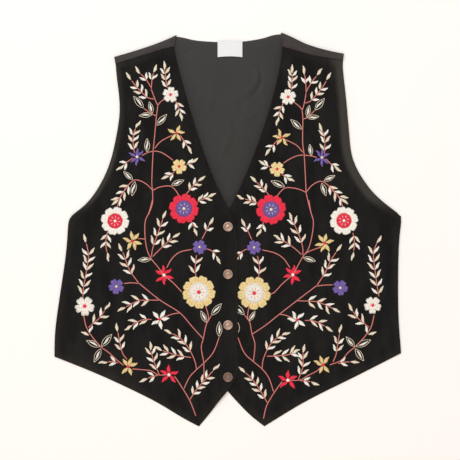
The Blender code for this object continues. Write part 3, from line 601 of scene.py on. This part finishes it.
SPRIGS = (
    # the stem's side with a white leaf in the first pair, pairs, mm to the first pair, mm between pairs,
    # whether a leaf ends it, points
    ("both", 1, 14.5, 10, 1, ((-115, 211), (-113, 229), (-107, 248))),
    ("both", 1, 14, 10, 1, ((-115, 213), (-123, 226), (-132, 235), (-139, 245))),
    ("left", 3, 12.4, 10, 1, ((-110, 196), (-120, 198), (-130, 207), (-140, 218), (-153, 236))),
    ("left", 3, 3, 9.5, 1, ((-91, 212), (-93, 226), (-96, 253))),
    ("right", 2, 4.5, 9.5, 1, ((-79, 194), (-74, 184), (-69, 163))),
    ("both", 1, 10.5, 10, 1, ((-72, 142), (-65, 132), (-54, 114))),
    ("both", 1, 3.5, 10, 1, ((-63, 98), (-55, 100), (-45, 108))),
    ("both", 1, 4, 10, 1, ((-80, 87), (-88, 81), (-100, 76))),
    ("left", 3, 6.5, 10.3, 1, ((-140, 115), (-142, 133), (-140, 148), (-131, 164))),
    ("both", 1, 12, 10, 1, ((-142, 108), (-152, 101), (-167, 89))),
    ("left", 3, 4, 11, 1, ((-147, 70), (-156, 57), (-163, 47), (-174, 37))),
    ("right", 2, 9, 8.5, 1, ((-63, 53), (-52, 66), (-34, 81))),
    ("right", 2, 2.5, 8.5, 1, ((-46, 42), (-33, 48), (-18, 55))),
    ("right", 3, 20, 14, 1, ((-115, -41), (-112, -25), (-104, -3), (-93, 29))),
    ("right", 2, 21, 12, 1, ((-113, -40), (-103, -30), (-89, -17), (-72, -4))),
    ("both", 1, 14.6, 10, 1, ((-39, -14), (-32, 0), (-22, 19))),
    ("both", 1, 10, 10, 1, ((-32, -28), (-22, -33), (-11, -51))),
    ("right", 2, 6.6, 14, 0, ((-48, -71), (-49, -54), (-47, -37))),
    ("both", 1, 3.5, 10, 1, ((-55, 14), (-52, 5), (-46, -9))),
    ("left", 2, 4.8, 10.6, 1, ((-180, -2), (-183, -21), (-178, -47))),
    ("right", 6, 5, 11.9, 1, ((-217, -101), (-216, -85), (-209, -45), (-210, -28), (-216, -6))),
    ("left", 3, 16.6, 12, 1, ((-134, -79), (-146, -62), (-153, -45), (-157, -34), (-164, -20))),
    ("right", 3, 16, 13.3, 1, ((-103, -105), (-122, -105), (-137, -107), (-165, -122))),
    ("right", 2, 7.7, 13.3, 1, ((-114, -134), (-126, -134), (-138, -139), (-155, -150))),
    ("right", 4, 9, 10.6, 1, ((-57, -254), (-47, -239), (-33, -223), (-13, -200))),
    ("left", 3, 30, 11.8, 1, ((-47, -209), (-50, -195), (-60, -175), (-74, -160), (-96, -150))),
    ("left", 3, 10.8, 12.3, 1, ((-55, -191), (-73, -188), (-91, -183), (-111, -175))),
    ("right", 3, 10, 11.5, 1, ((-103, -217), (-110, -199), (-114, -186), (-117, -167))),
    ("both", 1, 5.3, 10, 1, ((-105, -218), (-115, -220), (-133, -228))),
    ("right", 2, 18, 10.6, 1, ((-151, -194), (-158, -184), (-162, -168), (-167, -139))),
    ("both", 1, 4, 10, 1, ((-164, -199), (-175, -197), (-194, -200))),
    ("right", 2, 10.4, 12.8, 1, ((-209, -146), (-201, -139), (-190, -129), (-177, -108))),
)
LONE_LEAVES = (((-207, -154), (-203, -143), "white"), ((-208, -157), (-220, -153), "beige"))
OUTLINED_LEAVES = (
    # base, tip
    ((-126, 182), (-142, 201)), ((-113, 174), (-118, 193)), ((-113, 173), (-134, 171)),
    ((-107, 156), (-91, 174)), ((-121, 116), (-121, 138)), ((-142, 75), (-157, 88)),
    ((-139, 73), (-144, 50)), ((-85, 67), (-65, 75)), ((-115, -44), (-136, -45)),
    ((-13, -160), (-13, -136)), ((-32, -139), (-41, -120)), ((-25, -128), (-9, -109)),
    ((-190, -175), (-173, -155)), ((-191, -175), (-213, -165)), ((-190, -177), (-201, -199)),
)
FLOWERS = (
    # form, petals, degrees from +X to the first petal or, in a star, to each petal, thread, heart
    ("round", 5, (84,), "white", "red"),
    ("star", 5, (66, 7, -58, -128, 155), "gold", "red"),
    ("star", 6, (90, 48, -27, -94, -139, 153), "purple", "beige"),
    ("round", 5, (54,), "gold", "red"),
    ("ring", 8, (78,), "red", "beige"),
    ("ring", 8, (77,), "white", "white"),
    ("star", 6, (99, 52, -16, -70, -121, 165), "gold", "red"),
    ("round", 5, (67,), "purple", "beige"),
    ("star", 6, (97, 43, -17, -85, -140, 152), "red", "white"),
    ("ring", 9, (72,), "gold", "red"),
    ("round", 5, (48,), "purple", "beige"),
    ("round", 5, (57,), "white", "red"),
    ("star", 5, (59, 6, -78, -144, 134), "white", "red"),
    ("star", 5, (69, 22, -69, -130, 126), "gold", "red"),
    ("star", 5, (92, 22, -47, -132, 155), "red", "white"),
)
RING_DISCS = {
    # thread of the ring: (thread of the disc, thread of its dots, disc as a share of the flower)
    "red": ("purple", "beige", 0.59),
    "white": ("red", "white", 0.57),
    "gold": ("white", "coral", 0.65),
}
HEAD_REACH = {
    # how much of its solid each flower's petals fill
    "ring": {"red": 0.97, "white": 0.96, "gold": 1.0},
    "round": {"white": 1.03, "gold": 1.0, "purple": 0.92},
}
SMALL_HEADS = {("left", 12): 0.88}  # heads that came out smaller than their pairs on the other front

# One thread, laid over the cloth and plunging into it at both ends. Its points keep where they are along
# and round the thread, so that the finish can draw its strands.
group = bpy.data.node_groups.new("laid threads", "GeometryNodeTree")
for title, kind, value in (
    ("Places", "Geometry", None), ("Sides", "Int", 5), ("Cuts", "Int", 4), ("Bow", "Float", 0.62),
    ("Body", "Float", 0.5), ("Taper", "Float", 0.72), ("Thread", "Material", None),
):
    socket = group.interface.new_socket(title, in_out="INPUT", socket_type="NodeSocket" + kind)
    if value is not None:
        socket.default_value = value
thread_input = socket.identifier
group.interface.new_socket("Stitches", in_out="OUTPUT", socket_type="NodeSocketGeometry")
given = add(group, "NodeGroupInput").outputs
rod = add(
    group,
    "GeometryNodeMeshCylinder.Mesh",
    {"Vertices": given["Sides"], "Side Segments": given["Cuts"], "Radius": 0.5, "Depth": 1.0},
    fill_type="NGON",
)
rod = add(group, "GeometryNodeTransform.Geometry", {"Geometry": rod, "Rotation": (0.0, math.pi / 2, 0.0)})
spot = add(group, "GeometryNodeInputPosition.Position")
rod = add(
    group,
    "GeometryNodeStoreNamedAttribute.Geometry",
    {"Geometry": rod, "Name": "strand", "Value": spot},
    data_type="FLOAT_VECTOR",
)
spot = add(group, "ShaderNodeSeparateXYZ", {"Vector": spot}).outputs
sums = {
    "along": spot["X"], "aside": spot["Y"], "up": spot["Z"],
    "bow": given["Bow"], "body": given["Body"], "taper": given["Taper"],
}
for name, operation, *values in (
    # what it makes, how, and from what: the bow over the cloth, and how full the thread is at each place
    ("end", "MULTIPLY", "along", "along"),
    ("end", "MULTIPLY", "end", 4.0),
    ("rise", "SUBTRACT", 1.0, "end"),
    ("rise", "MULTIPLY", "rise", "bow"),
    ("thin", "MULTIPLY", "end", "end"),
    ("thin", "MULTIPLY", "thin", "taper"),
    ("full", "SUBTRACT", 1.0, "thin"),
    ("aside", "MULTIPLY", "aside", "full"),
    ("deep", "MULTIPLY", "full", "body"),
    ("deep", "MULTIPLY_ADD", "up", "deep", "rise"),
):
    inputs = {k: sums.get(value, value) for k, value in enumerate(values)}
    sums[name] = add(group, "ShaderNodeMath.Value", inputs, operation=operation)
shaped = add(group, "ShaderNodeCombineXYZ.Vector", {"X": spot["X"], "Y": sums["aside"], "Z": sums["deep"]})
rod = add(group, "GeometryNodeSetPosition.Geometry", {"Geometry": rod, "Position": shaped})
rod = add(group, "GeometryNodeSetShadeSmooth.Geometry", {"Geometry": rod})
turn, size = (
    add(group, "GeometryNodeInputNamedAttribute.Attribute", {"Name": title}, data_type="FLOAT_VECTOR")
    for title in ("turn", "size")
)
turn = add(group, "FunctionNodeEulerToRotation.Rotation", {"Euler": turn})
laid = add(
    group,
    "GeometryNodeInstanceOnPoints.Instances",
    {"Points": given["Places"], "Instance": rod, "Rotation": turn, "Scale": size},
)
for title in ("turn", "size"):
    laid = add(group, "GeometryNodeRemoveAttribute.Geometry", {"Geometry": laid, "Name": title})
laid = add(group, "GeometryNodeRealizeInstances.Geometry", {"Geometry": laid})
laid = add(group, "GeometryNodeSetMaterial.Geometry", {"Geometry": laid, "Material": given["Thread"]})
add(group, "NodeGroupOutput", {"Stitches": laid})

# Stranded cotton: six soft strands with a slight twist, which catch the light as fine lines along a stitch.
finishes = {}
for thread, (colour, between) in THREADS.items():
    cotton, tree, shader = start_material(
        f"{thread} stranded cotton", Roughness=0.5, Sheen_Weight=0.15, Sheen_Roughness=0.4
    )
    strand = add(tree, "ShaderNodeAttribute.Vector", attribute_name="strand")
    strand = add(tree, "ShaderNodeMapping.Vector", {"Vector": strand, "Rotation": (0.0, 0.0, 0.6)})
    lines = add(
        tree,
        "ShaderNodeTexWave.Fac",
        {"Vector": strand, "Scale": 1.3, "Distortion": 0.5},
        bands_direction="Y",
    )
    shade = add(tree, "ShaderNodeAttribute.Fac", attribute_name="shade")
    light = add(tree, "ShaderNodeMapRange.Result", {"Value": lines, "To Min": 0.55})
    light = add(tree, "ShaderNodeMath.Value", {0: light, 1: shade}, operation="MULTIPLY", use_clamp=True)
    dyed = add(tree, "ShaderNodeMix.Result", {"Factor": light, "A": between, "B": colour}, data_type="RGBA")
    relief = add(tree, "ShaderNodeBump.Normal", {"Height": lines, "Strength": 0.5, "Distance": 0.0002})
    give(shader, {"Base Color": dyed, "Normal": relief})
    finishes[thread] = cotton

draw = random.Random(11)
sewn = {}


def lay(side, thread, start, end, width, height=THREAD_HEIGHT, lift=0.0, tone=1.0):
    """Lays one thread on a cloth between two points, in millimetres, unless the other front covers it."""
    ends = []
    for x, y in (start, end):
        sky = Vector((x / 1000, y / 1000, 0.1))
        place, normal, _, _ = surfaces[side].ray_cast(sky, Vector((0, 0, -1)))
        over = surfaces["right"].ray_cast(sky, Vector((0, 0, -1)))[0]
        if place is None or (side == "left" and over is not None):
            return
        ends.append((place, normal))
    run = ends[1][0] - ends[0][0]
    along = run.normalized()
    across = (ends[0][1] + ends[1][1]).cross(along).normalized()
    up = along.cross(across)
    turn = Matrix((along, across, up)).transposed().to_euler()
    middle = (ends[0][0] + ends[1][0]) / 2 + up * lift / 1000
    size = (run.length, width / 1000, height / 1000)
    sewn.setdefault((side, thread), []).append((middle, turn, size, tone + draw.uniform(-0.09, 0.09)))


def even_steps(points, spacing):
    """Points at even steps along a smooth curve through points."""
    knots = np.array(points, float)
    knots = np.vstack((2 * knots[0] - knots[1], knots, 2 * knots[-1] - knots[-2]))
    share = np.linspace(0, 1, 12, endpoint=False)[:, None]
    bends = []
    for a, b, c, d in zip(knots, knots[1:], knots[2:], knots[3:]):
        cubic = (3 * b - a - 3 * c + d) * share**3 + (2 * a - 5 * b + 4 * c - d) * share**2
        bends.append(b + (cubic + (c - a) * share) / 2)
    bends = np.vstack((*bends, knots[-2:-1]))
    gone = np.concatenate(([0.0], np.cumsum(np.hypot(*np.diff(bends, axis=0).T))))
    stops = np.linspace(0, gone[-1], max(3, round(gone[-1] / spacing) + 1))
    return np.column_stack((np.interp(stops, gone, bends[:, 0]), np.interp(stops, gone, bends[:, 1])))


def stem(side, points):
    """A line of stem stitch: each thread reaches past the next one's start, on its other side."""
    steps = even_steps(points, STEM_STEP)
    for k in range(len(steps) - 2):
        way = steps[k + 2] - steps[k]
        off = np.array((-way[1], way[0])) / math.hypot(*way) * 0.28
        lay(side, "coral", steps[k] - off, steps[k + 2] + off, STEM_WIDTH)


def leaf(side, thread, base, tip, width, tone=1.0):
    """A leaf or petal of slanted satin stitch, pointed at both ends, fullest at its middle, a bit bowed."""
    base, tip = np.array(base, float), np.array(tip, float)
    length = math.dist(base, tip)
    along = (tip - base) / length
    across = np.array((-along[1], along[0]))
    bow, sway = length * draw.uniform(-0.06, 0.06), length * draw.uniform(-0.05, 0.05)

    def spot(at, out=0.0):
        off = out + bow * math.sin(math.pi * at) + sway * math.sin(math.tau * at)
        return base + along * length * at + across * off

    count = max(4, round(length / SATIN_STEP))
    slant = 0.55 * width / length
    for k in range(count):
        share = (k + 0.5) / count
        ends = []
        for edge in (-1, 1):
            at = min(1.0, max(0.0, share + edge * slant / 2))
            out = draw.uniform(0.94, 1.06) * width / 2 * math.sin(math.pi * at**0.9) ** 1.3
            ends.append(spot(at, edge * out))
        if math.dist(*ends) > 0.8:
            lay(side, thread, *ends, SATIN_WIDTH, THREAD_HEIGHT * 1.1, tone=tone)
    lay(side, thread, spot(0.62), spot(1.0), SATIN_WIDTH * 0.9, tone=tone)
    lay(side, thread, spot(0.0), spot(0.35), SATIN_WIDTH * 0.9, tone=tone)


def leaf_pair(side, spot, way, length, whites):
    """Two leaves that leave a stem on both sides. whites names the side, or both, that a white one is on."""
    for edge, name in ((1, "left"), (-1, "right")):
        pale = whites in ("both", name)
        turn = edge * math.radians(LEAF_ANGLE + draw.uniform(-5, 5))
        cos, sin = math.cos(turn), math.sin(turn)
        to = np.array((way[0] * cos - way[1] * sin, way[0] * sin + way[1] * cos))
        start = spot + np.array((-way[1], way[0])) * edge * 0.8 + way * draw.uniform(-0.7, 0.7)
        reach = length * draw.uniform(0.95, 1.05) * (1.0 if pale else 1.06)
        width = min(LEAF_SHARE * reach, LEAF_WIDEST)
        leaf(side, "white" if pale else "beige", start, start + to * reach, width)


def sprig(side, whites, pairs, first, spacing, tipped, points):
    """A stem with pairs of leaves, whose white leaves change sides, and mostly a leaf at its tip."""
    steps = even_steps(points, 0.5)
    gone = np.concatenate(([0.0], np.cumsum(np.hypot(*np.diff(steps, axis=0).T))))
    bare = gone[-1] - TIP_LEAF * tipped
    stem(side, steps[gone <= bare + 0.5][::4])
    length = min(LEAF_LENGTHS[1], max(LEAF_LENGTHS[0], 1.1 * spacing))
    sides = ("left", "right") if (whites == "left") == (side == "right") else ("right", "left")
    for pair in range(pairs):
        here = min(int(np.searchsorted(gone, first + pair * spacing)), len(steps) - 3)
        way = steps[here + 2] - steps[max(0, here - 2)]
        white_side = whites if whites == "both" else sides[pair % 2]
        leaf_pair(side, steps[here], way / math.hypot(*way), length, white_side)
    if tipped:
        leaf(side, "beige", steps[int(np.searchsorted(gone, bare))], steps[-1], TIP_WIDTH)


def outlined_leaf(side, base, tip):
    """A leaf drawn as an open outline of back stitch, with a small filled one inside."""
    base, tip = np.array(base, float), np.array(tip, float)
    way = (tip - base) * 0.95
    across = np.array((-way[1], way[0])) * 0.18
    cuts = 7
    for edge in (-1, 1):
        line = [
            base + way * (0.04 + 0.96 * k / cuts) + across * edge * math.sin(math.pi * (k / cuts) ** 0.9)
            for k in range(cuts + 1)
        ]
        for here, there in zip(line, line[1:]):
            over = (there - here) * 0.12
            lay(side, "beige", here - over, there + over, FINE_WIDTH * 1.3, tone=0.85)
    leaf(side, "white", base + way * 0.20, base + way * 0.82, 3.4, 0.9)


def heart(side, thread, middle, radius, lift):
    """A flower's heart: a few threads crossed over one another."""
    for k in range(5):
        turn = math.pi * k / 5
        off = radius * np.array((math.cos(turn), math.sin(turn)))
        lay(side, thread, middle - off, middle + off, radius * 0.75, radius * 0.55, lift)


def spokes(side, thread, middle, count, turned, inner, outer, width, height, lift=0.0, tone=1.0):
    """Threads set round a flower like spokes. Their radii and tone may change round it."""
    for k in range(count):
        turn = turned + math.tau * k / count
        near, far, light = (value(turn) if callable(value) else value for value in (inner, outer, tone))
        to = np.array((math.cos(turn), math.sin(turn)))
        lay(side, thread, middle + to * near, middle + to * far, width, height, lift, light)


def flower(side, middle, reach, form, petals, ways, thread, heart_thread):
    """One flower head. Stars have pointed petals, round ones lobed petals, and rings a disc too."""
    ways = [math.radians(way if side == "right" else 180 - way) for way in ways]
    start = ways[0]
    if form == "star":
        fat = PURPLE_STAR_PETAL if thread == "purple" else STAR_PETAL
        for turn in ways:
            to = np.array((math.cos(turn), math.sin(turn)))
            tip = middle + to * reach * draw.uniform(0.98, 1.08)
            tone = GOLD_STAR_TONE if thread == "gold" else STAR_TONE
            leaf(side, thread, middle + to * reach * 0.10, tip, reach * fat, tone)
        heart(side, heart_thread, middle, reach * 0.18, 0.35)
        return
    notch, dent = (0.50, 0.07) if form == "round" else (0.19, 0.02)
    reach *= HEAD_REACH[form][thread]

    def share_of_petal(turn):
        """0 at the middle of a petal and 1 between two."""
        return abs((petals * (turn - start) / math.pi + 1) % 2 - 1)

    def petal_edge(turn):
        share = share_of_petal(turn)
        ragged = 0.012 * math.sin(9 * turn + 2 * middle[0]) + 0.010 * math.sin(23 * turn + middle[1])
        cut = notch * max(0, (share - 0.42) / 0.58) ** 2.2
        return reach * (1.02 + ragged - dent * max(0, 1 - share / 0.35) ** 2 - cut)

    def fill_tone(turn):
        """Painted shade: the threads are drawn darker between two petals, where they sink."""
        return FILL_TONE - 0.60 * max(0, (share_of_petal(turn) - 0.70) / 0.30) ** 1.5

    def disc_tone(turn):
        return FILL_TONE - 0.30 * math.sin(petals * (turn - start)) ** 2

    def petal_rim(turn):
        return petal_edge(turn) - RIM_STITCH

    def under_edge(turn):
        return 0.93 * petal_edge(turn)

    def disc_edge(turn):
        return disc * (1.05 - 0.10 * (1 - share_of_petal(turn)) ** 2)

    disc_thread, dots, disc = RING_DISCS[thread] if form == "ring" else (None, None, 0.12)
    disc *= reach
    count = 60 if form == "round" else 112
    spokes(side, thread, middle, count // 2, start, disc * 0.8, under_edge, 2.2, 0.5)
    spokes(side, thread, middle, count, start + 0.03, disc * 0.88, petal_edge, 1.3, 0.95, tone=fill_tone)
    spokes(side, thread, middle, count, start, petal_rim, petal_edge, 0.85, 0.62, 0.20, RIM_TONE)
    mark = 0.56 if form == "round" else (0.92 + disc / reach) / 2
    marks = heart_thread if form == "round" and thread != "purple" else thread
    for edge in (-1, 1):
        turned = start + edge * 0.27 * math.pi / petals
        near, far = reach * (mark - 0.09), reach * (mark + 0.08)
        spokes(side, marks, middle, petals, turned, near, far, 0.65, 0.85, 0.42, 0.2)
    if form == "round":
        heart(side, heart_thread, middle, reach * 0.19, 0.5)
        if thread == "white":
            spokes(side, heart_thread, middle, 5, start + 0.2, reach * 0.2, reach * 0.44, 0.35, 1.0, 0.15)
        return
    spokes(side, disc_thread, middle, 30, start, reach * 0.06, disc, 2.4, 0.8, 0.15)
    spokes(side, disc_thread, middle, 64, start, reach * 0.08, disc_edge, 1.2, 1.0, 0.25, disc_tone)
    spokes(side, dots, middle, petals, start + 0.1, reach * 0.20, reach * 0.40, 0.75, 0.8, 0.85)
    heart(side, heart_thread, middle, reach * 0.12, 0.95)


centres = {}
reaches = {}
for side in ("right", "left"):
    for number in range(1, len(FLOWERS) + 1):
        spots = points_of(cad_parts[f"{side}_flower_{number}"])[0][:, :2] * 1000
        centres[side, number] = spots.mean(axis=0)
        reaches[side, number] = np.hypot(*(spots - centres[side, number]).T).max()
moved_spots = [centres["right", k] for k in range(1, 16)] + [move[:2] for move in LEFT_MOVES]
moves = [centres["left", k] - centres["right", k] * (-1, 1) for k in range(1, 16)]
moves += [move[2:] for move in LEFT_MOVES]
moved_spots, moves = np.array(moved_spots, float), np.array(moves, float)


def drawn(side, points):
    """The drawing's points on a front. The left one's are mirrored, and moved as the nearest places are."""
    if side == "right":
        return np.array(points, float)
    moved = []
    for point in np.array(points, float):
        near = 1 / (np.sum((moved_spots - point) ** 2, axis=1) + 4.0) ** 1.5
        moved.append(point * (-1, 1) + near @ moves / near.sum())
    return np.array(moved)


for side in ("right", "left"):
    for points in STEMS + SIDE_STEMS[side]:
        stem(side, drawn(side, points))
    for whites, pairs, first, spacing, tipped, points in SPRIGS:
        sprig(side, whites, pairs, first, spacing, tipped, drawn(side, points))
    for base, tip, thread in LONE_LEAVES:
        leaf(side, thread, *drawn(side, (base, tip)), LONE_WIDTH)
    for base, tip in OUTLINED_LEAVES:
        outlined_leaf(side, *drawn(side, (base, tip)))
    for number, (form, petals, ways, thread, heart_thread) in enumerate(FLOWERS, 1):
        middle = centres[side, number]
        reach = reaches[side, number] * SMALL_HEADS.get((side, number), 1.0)
        flower(side, middle, reach, form, petals, ways, thread, heart_thread)
for tack_x in np.linspace(TACKS_FROM, TACKS_TO, TACKS):
    lay("label", "white", (tack_x, TACKS_Y), (tack_x + TACK_LENGTH, TACKS_Y), 0.5, 0.4)

embroidery = {"right": [], "left": [], "label": []}
for (side, thread), pile in sewn.items():
    mesh = bpy.data.meshes.new("places")
    mesh.from_pydata([middle for middle, _, _, _ in pile], [], [])
    for title, column in (("turn", 1), ("size", 2)):
        values = np.array([tuple(one[column]) for one in pile]).ravel()
        mesh.attributes.new(title, "FLOAT_VECTOR", "POINT").data.foreach_set("vector", values)
    paint(mesh, "shade", [one[3] for one in pile])
    rough = placed("places", mesh)
    sewing = rough.modifiers.new("Sewing", "NODES")
    sewing.node_group = group
    sewing[thread_input] = finishes[thread]
    piece = plain_mesh(rough, "label_tacking" if side == "label" else f"{side}_{thread}_embroidery")
    heads = [f"{side}_flower_{number}" for number, about in enumerate(FLOWERS, 1) if about[3] == thread]
    if heads and side != "label":
        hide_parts(*heads)
    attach(piece, "root")
    embroidery[side].append(piece)

# Stage. A plain pale floor, the camera straight over the vest, and soft light: a cool main light from
# above the neck, a faint warm one from the hem, and an even room.
PHOTO_WIDTH, CAMERA_HEIGHT, CAMERA_X = 0.690, 2.2, 0.003
FLOOR_CREAM = "#FBF8F5"
ROOM_WHITE, ROOM_LIGHT = "#FFFEFC", 0.56

floor_finish, tree, shader = start_material("pale floor", Roughness=0.9, Base_Color=FLOOR_CREAM)
bpy.ops.mesh.primitive_plane_add(size=8.0, location=(0, 0, -0.0002))
floor = bpy.context.object
floor.name = "floor"
floor.data.materials.append(floor_finish)
floor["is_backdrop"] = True

lens = bpy.data.cameras.new("camera")
lens.lens = lens.sensor_width * CAMERA_HEIGHT / PHOTO_WIDTH
camera = placed("camera", lens)
camera.location = (CAMERA_X, 0.0, CAMERA_HEIGHT)
bpy.context.scene.camera = camera
bpy.context.scene.view_settings.view_transform = "Standard"

LIGHTS = (
    # name, place, size, watts, colour
    ("main light", (-0.6, 1.3, 2.6), 2.4, 50.0, "#FDFEFF"),
    ("fill light", (0.0, -1.5, 1.9), 1.8, 12.0, "#FFD8B4"),
)
for name, place, size, watts, colour in LIGHTS:
    lamp = bpy.data.lights.new(name, "AREA")
    lamp.size = size
    lamp.energy = watts
    lamp.color = linear(colour)[:3]
    holder = placed(name, lamp)
    holder.location = place
    holder.rotation_euler = Vector(place).to_track_quat("Z", "Y").to_euler()

world = bpy.data.worlds.new("room")
world.use_nodes = True
give(world.node_tree.nodes["Background"], {"Color": ROOM_WHITE, "Strength": ROOM_LIGHT})
bpy.context.scene.world = world

low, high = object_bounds()
